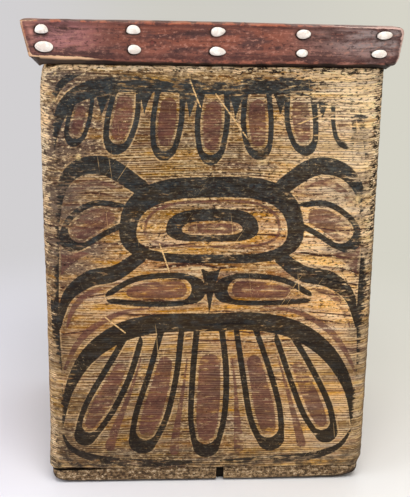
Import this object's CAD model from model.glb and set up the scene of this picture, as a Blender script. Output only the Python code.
"""Looks for a Northwest Coast bentwood box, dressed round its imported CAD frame.

Sizes are in millimetres until a mesh is made. On the walls z counts from their lower edge,
and on the lid from the walls' upper edge. Materials and the stage are in metres, apart from
what is named or described as millimetres.
"""

import math

import bmesh
import bpy
import numpy as np
from mathutils import Matrix, Vector


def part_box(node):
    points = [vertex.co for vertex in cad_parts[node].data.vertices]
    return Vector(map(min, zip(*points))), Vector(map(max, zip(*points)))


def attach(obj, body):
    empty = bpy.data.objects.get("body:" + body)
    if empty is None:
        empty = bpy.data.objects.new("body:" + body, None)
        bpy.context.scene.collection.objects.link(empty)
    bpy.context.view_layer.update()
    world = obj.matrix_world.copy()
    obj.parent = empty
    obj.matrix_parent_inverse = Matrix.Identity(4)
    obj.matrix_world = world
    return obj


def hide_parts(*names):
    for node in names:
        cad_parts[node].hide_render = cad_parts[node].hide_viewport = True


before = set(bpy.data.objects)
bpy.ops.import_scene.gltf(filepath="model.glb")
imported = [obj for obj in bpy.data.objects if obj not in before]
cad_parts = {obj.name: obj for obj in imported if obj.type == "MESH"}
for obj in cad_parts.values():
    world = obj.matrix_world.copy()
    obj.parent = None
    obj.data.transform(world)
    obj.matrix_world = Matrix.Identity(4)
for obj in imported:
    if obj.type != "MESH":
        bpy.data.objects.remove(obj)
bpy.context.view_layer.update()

MM = 0.001

# Walls
plank_low, plank_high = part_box("side_plank")
WALL_W = (plank_high.x - plank_low.x) / MM
WALL_D = (plank_high.y - plank_low.y) / MM
WALL_H = (plank_high.z - plank_low.z) / MM
HALF_W = WALL_W / 2
HALF_D = WALL_D / 2
SEAM_Z = plank_low.z / MM
RIM_Z = plank_high.z / MM
WALL_T = 13.0
BEND_R = 14.0
STRAP_T = 4.0
KERF_R = 2.2
KERF_GAP = 0.5
LAP_T = 6.0
LAP_GAP = 0.4

# Bottom board
board_low, board_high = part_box("bottom_board")
FLANGE_W = (board_high.x - board_low.x) / MM
FLANGE_D = (board_high.y - board_low.y) / MM
FLANGE_T = SEAM_Z
BOARD_TOP = board_high.z / MM
MIDDLE_FIT = 0.6
ROUND_LEFT = 9.0
ROUND_RIGHT = 13.0
NOTCH_X = 17.0
NOTCH_W = 10.0
NOTCH_DEPTH = 10.0
PEG_D = 5.0
PEG_FIT = 0.1

# Wider rounding of the board's lower front edge at its two ends, as width and height
FRONT_ROUND_LEFT = (22.0, 14.0)
FRONT_ROUND_RIGHT = (35.0, 18.0)

# Lid
LID_H = 49.5
END_OVER = 18.0
LEFT_UNDER = 9.0
RIGHT_UNDER = 13.0
END_BEVEL = 8.0
FRONT_OVER = 13.0
FRONT_UNDER = 6.0
FRONT_BEVEL = 5.0
SEAT_INSET = 1.0
LID_EDGE_R = 4.0
LID_CORNER_R = 6.0
LID_LEFT_R = 2.0
LID_RIGHT_R = 12.0
TOP_RIGHT_R = 13.0
LEFT_LIP_OUT = -1.8
LEFT_LIP_DROP = 2.4
RIGHT_LIP_OUT = 1.0
RIGHT_LIP_DROP = 1.6
FACE_LOW_Z = 8.2
PLUG_H = 11.0
PLUG_FIT = 2.0
PLUG_RIM = 24.0
HOLLOW_H = 18.0

# Shells from left to right: width, twice the height of the upper side, shift from an even place,
# rise above the row, taper, tilt, and the height of the lower side as a share of the upper
END_PAIR_INSET = 24.5
LOWER_ROW_Z = 17.0
UPPER_ROW_Z = 38.0
SOCKET_DEPTH = 3.5
UPPER_SHELLS = [
    (15.0, 15.2, 0.5, -1.5, 0.0, 0.0, 0.34),
    (15.8, 14.4, 5.5, -0.5, -0.04, 0.0, 0.4),
    (16.5, 10.4, 3.5, 0.5, -0.24, 7.0, 0.95),
    (16.2, 10.8, 3.5, -1.0, -0.06, 3.0, 0.9),
    (17.6, 9.2, -0.5, -1.0, -0.04, 5.0, 0.95),
]
LOWER_SHELLS = [
    (20.5, 12.0, 2.5, 2.5, 0.04, -3.0, 1.0),
    (14.8, 10.8, 6.5, 0.5, -0.12, -2.0, 0.95),
    (18.6, 11.6, 3.5, -1.0, -0.16, -2.0, 0.7),
    (13.0, 8.8, 3.0, -1.0, 0.05, 2.0, 1.0),
    (17.6, 10.0, -5.0, -1.0, 0.1, 3.0, 0.85),
]

# Camera, at the photograph's viewpoint: metres, degrees and millimetres of film
CAMERA_PLACE = (-0.0743, -1.2311, 0.5754)
CAMERA_PITCH = 14.06
CAMERA_YAW = 3.66
CAMERA_ROLL = 0.89
CAMERA_LENS = 65.07
CAMERA_FILM = 36

# Lamps: name, place, size, power and colour
LAMPS = [
    ("key", (0.2, -1.6, 2.7), 2.0, 62, (1, 1, 1)),
    ("left", (-2.2, -1.4, 1.5), 1.4, 21, (0.92, 0.94, 1.0)),
    ("back", (0.2, 0.9, 2.8), 1.6, 18, (1, 1, 1)),
]
LAMP_TARGET = (0, 0, 0.3)
WORLD_COLOUR = (0.97, 0.98, 1.0, 1.0)
WORLD_STRENGTH = 0.5
FLOOR_REACH = 8.0


# Number helpers


def ramp(value, low, high):
    """0 at low, 1 at high, smooth between."""
    t = np.clip((value - low) / (high - low), 0, 1)
    return t * t * (3 - 2 * t)


def band(value, start, full_from, full_to, stop):
    """1 between the two middle numbers, and 0 before start and after stop."""
    return ramp(value, start, full_from) * ramp(value, stop, full_to)


def bumps(value, *rows):
    """The sum of soft bumps, each given by its height, middle and half width."""
    return sum(height * np.exp(-(((value - middle) / half) ** 2)) for height, middle, half in rows)


def spots(x, z, *rows):
    """The sum of soft patches, each given by its height, its middle and its half sizes."""
    return sum(h * np.exp(-(((x - cx) / rx) ** 2) - ((z - cz) / rz) ** 2) for h, cx, cz, rx, rz in rows)


def wander(u, v, seed):
    """Smooth noise between -1 and 1 that changes over about one unit."""
    lattice = np.random.default_rng(seed).uniform(-1, 1, (64, 64))
    u, v = np.broadcast_arrays(np.asarray(u, float), np.asarray(v, float))
    u0 = np.floor(u).astype(int)
    v0 = np.floor(v).astype(int)
    fu = ramp(u - u0, 0, 1)
    fv = ramp(v - v0, 0, 1)
    here = lattice[u0 % 64, v0 % 64] * (1 - fu) + lattice[(u0 + 1) % 64, v0 % 64] * fu
    above = lattice[u0 % 64, (v0 + 1) % 64] * (1 - fu) + lattice[(u0 + 1) % 64, (v0 + 1) % 64] * fu
    return here * (1 - fv) + above * fv


def spaced(start, stop, step):
    """Points from start up to, and not at, stop, at most step apart."""
    count = max(1, math.ceil(abs(stop - start) / step))
    return np.linspace(start, stop, count, endpoint=False)


def arc(centre, radius, start, stop, count):
    """Points on a circle from start up to, and not at, stop, in degrees."""
    a = np.radians(np.linspace(start, stop, count, endpoint=False))
    return np.column_stack([centre[0] + radius * np.cos(a), centre[1] + radius * np.sin(a)])


def line(start, stop, step):
    """Points on a straight line from start up to, and not at, stop."""
    start = np.array(start, float)
    stop = np.array(stop, float)
    t = spaced(0, 1, step / np.hypot(*(stop - start)))[:, None]
    return start + (stop - start) * t


# Mesh helpers


def grid_step(step):
    return step


def loft_faces(rows, columns, inside_out=False):
    """Quads between neighbouring loops of points, and a cap on the first and on the last loop."""
    c = np.arange(columns)
    n = (c + 1) % columns
    r = np.arange(rows - 1)[:, None] * columns
    faces = np.stack([r + c, r + n, r + columns + n, r + columns + c], axis=-1).reshape(-1, 4).tolist()
    last = (rows - 1) * columns
    faces += [list(range(columns - 1, -1, -1)), list(range(last, last + columns))]
    return [face[::-1] for face in faces] if inside_out else faces


def point_normals(points, quads):
    a, b, c, d = (points[quads[:, i]] for i in range(4))
    faces = np.cross(c - a, d - b)
    normals = np.zeros_like(points)
    for i in range(4):
        np.add.at(normals, quads[:, i], faces)
    length = np.linalg.norm(normals, axis=1, keepdims=True)
    return normals / np.maximum(length, 1e-9)


def make_piece(name, points, faces, material, body, nodes):
    """A new piece in place of CAD nodes. Points are in millimetres."""
    mesh = bpy.data.meshes.new(name)
    mesh.from_pydata((np.reshape(points, (-1, 3)) * MM).tolist(), [], faces)
    mesh.materials.append(material)
    mesh.polygons.foreach_set("use_smooth", np.ones(len(mesh.polygons), bool))
    piece = bpy.data.objects.new(name, mesh)
    bpy.context.collection.objects.link(piece)
    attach(piece, body)
    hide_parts(*nodes)
    return piece


def give(piece, shape, **marks):
    """Stores numbers for each point of a grid of this shape, which a material reads by their name."""
    for name, values in marks.items():
        attribute = piece.data.attributes.new(name, "FLOAT", "POINT")
        attribute.data.foreach_set("value", np.broadcast_to(values, shape).astype(np.float32).ravel())


def weld(piece, distance):
    mesh = bmesh.new()
    mesh.from_mesh(piece.data)
    bmesh.ops.remove_doubles(mesh, verts=mesh.verts, dist=distance * MM)
    bmesh.ops.dissolve_degenerate(mesh, dist=distance * MM, edges=mesh.edges)
    mesh.to_mesh(piece.data)
    mesh.free()


# Painted design: signed distances in millimetres, below zero inside the paint

FAR = 60.0

# Lines of the right half, as points of x, z and width
BLACK_LINES = [
    # Along the top
    [(0, 482, 14), (60, 486, 20), (120, 484, 22), (164, 468, 18), (181, 432, 10), (185, 396, 2)],
    [(128, 503, 3), (158, 499, 9), (180, 480, 8), (188, 450, 2)],
    [(0, 501, 5), (60, 503, 7), (128, 502, 5)],
    # Down the side
    [(184, 70, 2), (188, 150, 8), (190, 290, 12), (189, 400, 10), (185, 455, 3)],
    # Away from the great ovoid
    [(86, 366, 20), (122, 388, 22), (156, 386, 19), (178, 362, 12), (185, 318, 2)],
    [(86, 278, 16), (114, 258, 20), (148, 250, 21), (174, 228, 14), (184, 188, 2)],
    # An arch, and a line along the bottom
    [(0, 198, 24), (55, 197, 24), (108, 184, 24), (150, 154, 20), (176, 108, 12), (185, 58, 2)],
    [(20, 10, 4), (66, 8, 10), (128, 11, 11), (170, 26, 7), (186, 52, 2)],
]
RED_LINES = [
    # Beside the black lines
    [(112, 364, 3), (138, 370, 7), (160, 360, 8), (172, 340, 2)],
    [(126, 238, 2), (148, 232, 7), (166, 214, 7), (175, 190, 2)],
    [(70, 216, 2), (116, 205, 6), (158, 176, 8), (184, 130, 3)],
    # Drops under the arch
    [(27, 150, 2), (34, 96, 5), (40, 50, 10), (42, 26, 12)],
    [(86, 150, 2), (101, 100, 5), (116, 52, 10), (122, 30, 12)],
]
BLACK_TRIGONS = [
    [(16, 476), (35, 476), (26, 446)],
    [(69, 477), (88, 477), (80, 448)],
    [(119, 474), (137, 470), (130, 444)],
    [(-13, 268), (13, 268), (0, 206)],
]
RED_TRIGON = [(146, 284), (186, 300), (182, 256)]

# Feathers: thickness of the outline at the sides and at the tip, gap round the core,
# share of the length where the core starts, and points of x, z and width from base to tip
FEATHERS = [
    # Hanging from the top
    (6.5, 11, 3.2, 0.25, [(0, 476, 34), (0, 446, 40), (0, 418, 34), (0, 406, 24)]),
    (6.5, 11, 3.2, 0.25, [(50, 478, 34), (52, 446, 40), (55, 420, 34), (57, 410, 24)]),
    (6.5, 11, 3.2, 0.25, [(101, 478, 34), (105, 448, 40), (110, 424, 34), (113, 414, 24)]),
    (5, 9, 3, 0.3, [(150, 468, 24), (154, 446, 28), (158, 428, 26), (160, 420, 18)]),
    # Beside the great ovoid, and under it
    (7, 13, 3.2, 0.2, [(114, 330, 34), (136, 326, 46), (156, 314, 46), (166, 304, 36)]),
    (7, 14, 3.4, 0.25, [(118, 228, 18), (84, 236, 38), (42, 240, 42), (22, 240, 34)]),
    # A fan under the arch
    (7.5, 15, 3.4, 0.28, [(0, 186, 38), (0, 130, 48), (0, 72, 50), (0, 34, 36)]),
    (7.5, 15, 3.4, 0.28, [(46, 184, 32), (58, 130, 42), (72, 75, 46), (82, 38, 34)]),
    (7.5, 15, 3.4, 0.28, [(96, 172, 28), (116, 128, 38), (138, 80, 42), (154, 46, 30)]),
]


def smooth_path(points, steps):
    """A curve through points, which may carry a width."""
    points = np.array(points, float)
    ends = np.vstack([points[:1], points, points[-1:]])
    t = np.linspace(0, 1, steps, endpoint=False)[:, None]
    curve = []
    for a, b, c, d in zip(ends, ends[1:], ends[2:], ends[3:]):
        bend = a - 2.5 * b + 2 * c - 0.5 * d
        twist = 1.5 * b - 0.5 * a - 1.5 * c + 0.5 * d
        curve.append(b + 0.5 * (c - a) * t + bend * t**2 + twist * t**3)
    return np.vstack([*curve, points[-1:]])


def near(p, path, reach=30.0):
    low = path[:, :2].min(0) - reach
    high = path[:, :2].max(0) + reach
    return np.all((p > low) & (p < high), axis=1)


def from_segment(q, a, b):
    """How far points lie from a straight line, and the share of its length at which they pass it."""
    ab = b - a
    t = np.clip(((q - a) @ ab) / max(ab @ ab, 1e-9), 0, 1)
    return np.hypot(*(q - a - t[:, None] * ab).T), t


def brush(p, path):
    """A brush stroke along a path of x, z and width."""
    distance = np.full(len(p), FAR)
    close = near(p, path)
    best = distance[close]
    for a, b in zip(path[:-1], path[1:]):
        gap, t = from_segment(p[close], a[:2], b[:2])
        best = np.minimum(best, gap - (a[2] + t * (b[2] - a[2])) / 2)
    distance[close] = best
    return distance


def fill(p, path):
    """The inside of a closed path."""
    distance = np.full(len(p), FAR)
    close = near(p, path)
    q = p[close]
    best = distance[close]
    inside = np.zeros(len(q), bool)
    for a, b in zip(path, np.roll(path, -1, axis=0)):
        best = np.minimum(best, from_segment(q, a, b)[0])
        if a[1] != b[1]:
            crosses = (a[1] > q[:, 1]) != (b[1] > q[:, 1])
            inside ^= crosses & (q[:, 0] < a[0] + (q[:, 1] - a[1]) / (b[1] - a[1]) * (b[0] - a[0]))
    distance[close] = np.where(inside, -best, best)
    return distance


def ovoid(p, z, w, h):
    """A formline ovoid on the centre line: a bulging rounded box with a hollow underside."""
    t = np.linspace(0, 2 * np.pi, 56, endpoint=False)
    x = np.sign(np.cos(t)) * np.abs(np.cos(t)) ** 0.69
    y = np.sign(np.sin(t)) * np.abs(np.sin(t)) ** 0.8
    y = np.where(y < 0, y * (1 - 0.16 * (1 - x**2) ** 1.2), y)
    x = x * (1 - 0.07 * y)
    return fill(p, np.column_stack([x * w / 2, z + y * h / 2]))


def ovoid_ring(p, z, w, h, top, side, bottom):
    inside = ovoid(p, z - (top - bottom) / 2, w - 2 * side, h - top - bottom)
    return np.maximum(ovoid(p, z, w, h), -inside)


def trigon(p, corners):
    """A three-pointed shape with hollow sides."""
    corners = [np.array(c, float) for c in corners]
    middle = sum(corners) / 3
    t = np.linspace(0, 1, 8, endpoint=False)[:, None]
    sides = []
    for a, b in zip(corners, corners[1:] + corners[:1]):
        sag = (a + b) * 0.28 + middle * 0.44
        sides.append((1 - t) ** 2 * a + 2 * t * (1 - t) * sag + t**2 * b)
    return fill(p, np.vstack(sides))


def feather(p, side, tip, gap, core_from, points):
    """A long U-form: a black outline and a red core."""
    path = smooth_path(points, 10)
    run = np.concatenate([[0], np.cumsum(np.hypot(*np.diff(path[:, :2], axis=0).T))])
    length = run[-1]

    def stretch(start, stop, narrower):
        at = np.linspace(start, stop, 22)
        x, z, w = (np.interp(at, run, path[:, i]) for i in range(3))
        return np.column_stack([x, z, np.maximum(w - narrower, 0.5)])

    inner = stretch(0, length - tip, 2 * side)
    back = inner[0, :2] - inner[1, :2]
    mouth = inner[0, :2] + 12 * back / np.hypot(*back)
    inner = np.vstack([[*mouth, inner[0, 2]], inner])
    outline = np.maximum(brush(p, stretch(0, length, 0)), -brush(p, inner))
    core = brush(p, stretch(core_from * length, length - tip - 0.6 * gap, 2 * (side + gap)))
    return outline, core


def painted_design(x, z):
    """A generic formline pattern, mirrored about the middle and a little uneven, as by hand."""
    uneven_x = x + 1.3 * np.sin(z / 31 + 0.8) + 0.9 * np.sin(x / 23 + z / 47)
    uneven_z = z + 1.2 * np.sin(x / 37 + 1.9) + 1.0 * np.sin(z / 29 - x / 53)
    p = np.column_stack([np.abs(uneven_x), uneven_z])
    black = [brush(p, smooth_path(points, 8)) for points in BLACK_LINES]
    red = [brush(p, smooth_path(points, 8)) for points in RED_LINES]
    black += [trigon(p, corners) for corners in BLACK_TRIGONS]
    red.append(trigon(p, RED_TRIGON))
    for row in FEATHERS:
        outline, core = feather(p, *row)
        black.append(outline)
        red.append(core)

    # A great ovoid in the middle
    black.append(ovoid_ring(p, 322, 220, 116, 26, 20, 14))
    red.append(ovoid_ring(p, 319, 164, 64, 3.5, 3.5, 3.5))
    black.append(ovoid_ring(p, 318, 112, 44, 15, 19, 10))
    red.append(ovoid(p, 315, 60, 14))
    return np.minimum.reduce(black), np.minimum.reduce(red)


# Materials


def srgb(*levels):
    """A colour from its 0 to 255 screen values."""
    c = np.array(levels) / 255
    linear = np.where(c <= 0.04045, c / 12.92, ((c + 0.055) / 1.055) ** 2.4)
    return (*map(float, linear), 1.0)


class Shading:
    """A node tree. Every value given to a node is a number, a colour or another node's socket."""

    def __init__(self, tree):
        self.tree = tree

    def put(self, socket, value):
        if isinstance(value, bpy.types.NodeSocket):
            self.tree.links.new(value, socket)
        else:
            socket.default_value = value

    def node(self, kind, values=(), **settings):
        made = self.tree.nodes.new(kind)
        for key, value in settings.items():
            setattr(made, key, value)
        for key, value in dict(values).items():
            self.put(made.inputs[key], value)
        return made

    def stored(self, name):
        return self.node("ShaderNodeAttribute", attribute_name=name).outputs["Fac"]

    def place(self):
        return self.node("ShaderNodeTexCoord").outputs["Object"]

    def vector(self, x, y, z):
        return self.node("ShaderNodeCombineXYZ", {"X": x, "Y": y, "Z": z}).outputs[0]

    def parts(self, vector):
        """The vector's x, y and z."""
        outputs = self.node("ShaderNodeSeparateXYZ", {0: vector}).outputs
        return outputs["X"], outputs["Y"], outputs["Z"]

    def vectors(self, operation, values, output="Vector"):
        return self.node("ShaderNodeVectorMath", values, operation=operation).outputs[output]

    def turned(self, vector, degrees):
        """The vector turned in the XZ plane."""
        values = {"Vector": vector, "Angle": math.radians(degrees)}
        return self.node("ShaderNodeVectorRotate", values, rotation_type="Y_AXIS").outputs[0]

    def noise(self, vector, waves, detail=2.0, roughness=0.5):
        """Noise with about so many waves to a metre along x, y and z."""
        values = {"Vector": self.vectors("MULTIPLY", {0: vector, 1: waves}), "Scale": 1.0}
        values.update({"Detail": detail, "Roughness": roughness})
        return self.node("ShaderNodeTexNoise", values).outputs["Fac"]

    def math(self, operation, a, b=0.0):
        return self.node("ShaderNodeMath", {0: a, 1: b}, operation=operation).outputs[0]

    def add(self, first, *others):
        for other in others:
            first = self.math("ADD", first, other)
        return first

    def times(self, first, *others):
        for other in others:
            first = self.math("MULTIPLY", first, other)
        return first

    def linear(self, value, factor, start):
        return self.add(self.times(value, factor), start)

    def step(self, value, low, high):
        """0 below low, 1 above high, smooth between. With low above high it falls."""
        values = {"Value": value, "From Min": min(low, high), "From Max": max(low, high)}
        values.update({"To Min": 0.0 if low < high else 1.0, "To Max": 1.0 if low < high else 0.0})
        return self.node("ShaderNodeMapRange", values, interpolation_type="SMOOTHSTEP").outputs["Result"]

    def mix(self, factor, a, b):
        return self.node("ShaderNodeMix", {0: factor, 6: a, 7: b}, data_type="RGBA").outputs[2]

    def apart(self, point):
        """Distance from a fixed point."""
        return self.vectors("DISTANCE", {0: self.place(), 1: point}, "Value")

    def line_gap(self, vector, start, stop):
        """Distance from a straight line between two places, in millimetres of x and z."""
        a = Vector((start[0], 0, start[1])) * MM
        step = Vector((stop[0], 0, stop[1])) * MM - a
        offset = self.vectors("SUBTRACT", {0: vector, 1: a})
        share = self.vectors("DOT_PRODUCT", {0: offset, 1: step / step.length_squared}, "Value")
        share = self.node("ShaderNodeClamp", {0: share}).outputs[0]
        nearest = self.vectors("SCALE", {0: step, "Scale": share})
        return self.vectors("DISTANCE", {0: offset, 1: nearest}, "Value")

    def seen(self):
        """1 for what the camera sees, straight on, mirrored or through glass."""
        path = self.node("ShaderNodeLightPath")
        mirrored = self.math("MAXIMUM", path.outputs["Is Glossy Ray"], path.outputs["Is Transmission Ray"])
        return self.math("MAXIMUM", path.outputs["Is Camera Ray"], mirrored)

    def backdrop(self, direction):
        """The pale background, cooler at the left than at the right."""
        across = self.parts(direction)[0]
        tone = self.mix(self.step(across, -0.16, 0.04), srgb(210, 208, 210), srgb(207, 205, 197))
        return self.mix(self.step(across, 0.1, 0.28), tone, srgb(214, 212, 200))


class Surface(Shading):
    """A material, whose colour is built up coat by coat."""

    def __init__(self, name, roughness, shine=0.5):
        self.material = bpy.data.materials.new(name)
        self.material.use_nodes = True
        super().__init__(self.material.node_tree)
        self.shader = self.tree.nodes["Principled BSDF"]
        self.shader.inputs["Roughness"].default_value = roughness
        self.shader.inputs["Specular IOR Level"].default_value = shine
        self.colour = None

    def coat(self, mask, share, tone):
        """Lays a tone over the colour so far, as much as the mask and the share allow."""
        self.colour = self.mix(self.times(mask, share), self.colour, tone)

    def finish(self, height, depth, roughness=None):
        """Joins up the material. The height is 0 to 1, and depth is its depth in metres."""
        self.put(self.shader.inputs["Base Color"], self.colour)
        if roughness is not None:
            self.put(self.shader.inputs["Roughness"], roughness)
        bump = self.node("ShaderNodeBump", {"Strength": 1.0, "Distance": depth, "Height": height})
        self.put(self.shader.inputs["Normal"], bump.outputs[0])
        return self.material


def lay_wood(s, grain, pale, mid, deep, dark, lined=1.0, flaked=1.0):
    """Weathered cedar: blotches, flakes, growth lines 3 mm apart and fine fibres. Returns its height."""
    blotch = s.noise(grain, (5, 9, 28), 5.0, 0.62)
    flake = s.noise(grain, (15, 40, 190), 4.0, 0.62)
    drift = s.noise(grain, (2.2, 30, 20), 3.0, 0.55)
    fine = s.noise(grain, (22, 200, 640), 3.0, 0.65)
    strength = s.noise(grain, (5, 30, 44), 4.0, 0.62)
    mottle = s.noise(grain, (42, 90, 340), 3.0, 0.68)
    ring = s.math("SINE", s.add(s.times(s.parts(grain)[2], 2000.0), s.times(drift, 46.0)))
    mixed = s.add(ring, s.times(fine, 2.6))
    shown = s.times(s.step(strength, 0.3, 0.5), lined)
    line_mask = s.times(s.step(mixed, 1.7, 2.15), shown)
    fibre = s.step(fine, 0.52, 0.64)
    s.colour = s.mix(s.step(blotch, 0.38, 0.6), deep, mid)
    s.coat(s.times(s.step(flake, 0.52, 0.66), 0.8), flaked, pale)
    s.coat(s.times(s.step(mixed, 1.3, 0.7), shown), 0.4, pale)
    s.coat(fibre, 0.45, deep)
    s.coat(s.times(s.step(mottle, 0.54, 0.63), 0.4), flaked, deep)
    s.coat(s.times(s.step(mottle, 0.44, 0.36), 0.35), flaked, pale)
    s.coat(line_mask, 0.9, dark)
    return s.math("SUBTRACT", 1.0, s.add(s.times(line_mask, 0.6), s.times(fibre, 0.3)))


def stain_round(s, ends, speck):
    """A ragged dark stain round each of the given peg ends."""
    gap = s.apart(ends[0])
    for end in ends[1:]:
        gap = s.math("MINIMUM", gap, s.apart(end))
    s.coat(s.step(s.add(gap, s.times(speck, 0.004)), 0.0085, 0.005), 0.75, srgb(40, 27, 19))


# Painted cedar of the plank. Its functions share the noises that plank_material stores on the surface


def age_wood(s):
    """The bare wood: tinted, aged, bleached and smoked. Returns its height."""
    tones = srgb(236, 210, 168), srgb(172, 123, 70), srgb(110, 71, 38), srgb(48, 28, 16)
    height = lay_wood(s, s.grain, *tones, s.stored("lined"), s.flaked)
    tint = s.noise(s.grain, (8, 13, 45), 4.0, 0.6)
    s.coat(s.step(tint, 0.52, 0.62), 0.4, srgb(222, 160, 80))
    s.coat(s.step(tint, 0.46, 0.37), 0.5, srgb(118, 72, 46))
    s.coat(s.step(s.patina, 0.49, 0.64), 0.7, srgb(84, 58, 38))
    s.coat(s.times(s.wear, s.step(s.worn_wood, 0.4, 0.6)), 0.5, srgb(226, 188, 136))
    lit = s.vectors("SCALE", {0: s.colour, "Scale": s.stored("tone")})
    s.colour = s.vectors("MINIMUM", {0: lit, 1: srgb(242, 217, 180)[:3]})
    s.coat(s.stored("bleached"), 1.0, srgb(228, 208, 176))
    s.coat(s.stored("smoked"), s.step(s.patina, 0.34, 0.56), srgb(104, 86, 77))

    # Streaks of warmer and of greyer wood, on the front
    on_front = s.step(s.math("ABSOLUTE", s.along), 0.235, 0.205)
    streaks = s.linear(s.noise(s.grain, (12, 26, 110), 4.0, 0.65), 1.3, -0.64)
    values = {"Hue": s.linear(on_front, 0.004, 0.5), "Saturation": s.linear(streaks, on_front, 1.0)}
    s.colour = s.node("ShaderNodeHueSaturation", {**values, "Color": s.colour}).outputs[0]
    return height


def crack_wood(s):
    """Long drying cracks, about 16 mm apart, which waver and break off, with a stain along each."""
    wave = s.math("SINE", s.add(s.times(s.high, 390.0), s.times(s.waver, 42.0)))
    wave = s.add(wave, s.times(s.worn_wood, 0.16))
    unbroken = s.times(s.step(s.noise(s.grain, (9, 9, 50), 3.0), 0.46, 0.54), s.stored("cracked"))
    crack = s.times(s.step(wave, 0.98, 1.05), unbroken)
    s.coat(s.times(s.step(wave, 0.7, 1.05), unbroken), 0.55, srgb(112, 62, 42))
    s.coat(crack, 0.9, srgb(54, 26, 20))
    return crack


def paint_front(s):
    """Black and red paint, ragged along the grain and lost in streaks and flecks where the wood is worn."""
    ragged = s.math("SUBTRACT", s.noise(s.grain, (200, 200, 560), 3.0, 0.6), 0.5)
    worn = s.add(s.times(s.fleck, 0.66), s.times(s.patch, 0.34), s.times(s.wear, 0.26))
    red_edge = s.add(s.stored("red_mm"), s.times(ragged, 3.4))
    red = s.times(s.step(red_edge, 0.6, -0.6), s.step(worn, 0.68, 0.54))
    black_mm = s.stored("black_mm")
    black_edge = s.add(black_mm, s.times(ragged, 2.2))
    kept = s.step(worn, 0.71, 0.62)
    black = s.times(s.step(black_edge, 0.4, -0.4), kept)
    s.coat(s.times(s.step(black_mm, 15.0, 1.0), s.step(s.patina, 0.46, 0.64)), 0.35, srgb(70, 50, 34))
    halo = s.times(s.step(black_edge, 2.4, 1.0), kept, s.step(s.patch, 0.47, 0.6))
    s.coat(halo, 0.6, srgb(216, 178, 126))
    faded = s.add(s.times(s.high, 0.5), s.soot)
    s.coat(red, 0.84, s.mix(s.step(s.patch, 0.35, 0.65), srgb(76, 44, 40), srgb(112, 68, 56)))
    s.coat(black, 0.95, s.mix(s.step(faded, 0.52, 0.92), srgb(17, 14, 10), srgb(46, 56, 59)))
    return black, red


def flay_corners(s):
    """Worn corner strips: pale ridges with dark furrows, and a ragged border. Returns the furrows."""
    to_right = s.step(s.along, -0.1, 0.1)
    upper_left = s.times(s.step(s.high, 0.37, 0.43), s.linear(to_right, -1.0, 1.0))
    chunk = s.noise(s.grain, (80, 80, 190), 4.0, 0.7)
    chunk = s.add(chunk, s.add(s.times(to_right, 0.05), s.times(upper_left, -0.05)))
    furrow = s.step(chunk, 0.55, 0.59)
    ripple = s.math("SINE", s.add(s.times(s.high, 2400.0), s.times(s.waver, 60.0)))
    ridged = s.step(s.add(ripple, s.times(s.fleck, 1.8)), 0.9, 1.6)
    tone = s.mix(s.step(s.patch, 0.42, 0.6), srgb(255, 228, 184), srgb(242, 204, 154))
    tone = s.mix(s.times(ridged, s.linear(upper_left, -0.3, 0.75)), tone, srgb(112, 72, 42))
    tone = s.mix(s.times(s.step(s.soot, 0.5, 0.6), 0.5), tone, srgb(112, 84, 62))
    tone = s.mix(furrow, tone, srgb(34, 24, 18))
    bitten = s.add(s.strip, s.times(s.math("SUBTRACT", s.add(s.patch, s.fleck), 1.0), 2.6))
    s.coat(s.times(s.step(bitten, 0.42, 0.58), s.step(s.strip, 0.02, 0.2)), 0.97, tone)
    shadow = s.step(s.noise(s.grain, (45, 45, 380), 3.0, 0.6), 0.4, 0.5)
    s.coat(s.times(s.stored("turned"), shadow), 0.75, srgb(60, 42, 30))
    return furrow


# Long scratches on the front, from one place to another in millimetres of x and z
SCRATCHES = [
    ((3, 478), (41, 422)),
    ((-30, 500), (-15, 462)),
    ((-62, 296), (-50, 262)),
    ((96, 438), (128, 452)),
    ((-128, 206), (-104, 186)),
]


def scratch_and_soil(s, black, red, paint, peg_ends):
    """Fine scratches at two slants, long ones, chips, specks, grime, grit, pits and stains."""
    few = s.step(s.noise(s.grain, (11, 11, 11)), 0.5, 0.66)
    slant_a = s.step(s.noise(s.turned(s.grain, 58), (9, 9, 520), 1.0), 0.70, 0.735)
    slant_b = s.step(s.noise(s.turned(s.grain, 96), (14, 14, 460), 1.0), 0.68, 0.72)
    s.coat(s.times(s.math("MAXIMUM", slant_a, slant_b), few), 0.6, srgb(210, 172, 116))
    broken = s.step(s.fleck, 0.36, 0.5)
    for start, stop in SCRATCHES:
        s.coat(s.step(s.line_gap(s.grain, start, stop), 0.0011, 0.0005), broken, srgb(220, 180, 122))
    speck = s.noise(s.grain, (330, 330, 430), 2.0, 0.6)
    cluster = s.step(s.noise(s.grain, (22, 22, 22), 3.0), 0.48, 0.64)
    chip = s.times(s.step(speck, 0.64, 0.7), cluster, s.linear(black, -0.5, 1.0))
    s.coat(chip, 0.85, srgb(224, 192, 140))
    s.coat(s.stored("chip"), 1.0, srgb(226, 194, 136))
    s.coat(s.step(speck, 0.4, 0.33), 0.7, srgb(46, 31, 20))
    dirt = s.step(s.noise(s.grain, (70, 70, 150), 5.0, 0.7), 0.38, 0.6)
    s.coat(s.stored("grime"), dirt, srgb(56, 47, 40))
    grit = s.noise(s.grain, (170, 170, 420), 2.0, 0.6)
    gritty = s.add(s.flaked, s.times(s.strip, 0.12))
    s.coat(s.times(s.step(grit, 0.55, 0.61), gritty), s.linear(red, -0.7, 1.15), srgb(40, 26, 18))
    light_grit = s.times(s.step(grit, 0.43, 0.36), s.linear(paint, -0.85, 1.0), gritty)
    s.coat(light_grit, 0.9, srgb(230, 201, 153))
    s.coat(s.stored("pit"), 1.0, srgb(18, 14, 11))
    stain_round(s, peg_ends, speck)


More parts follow.
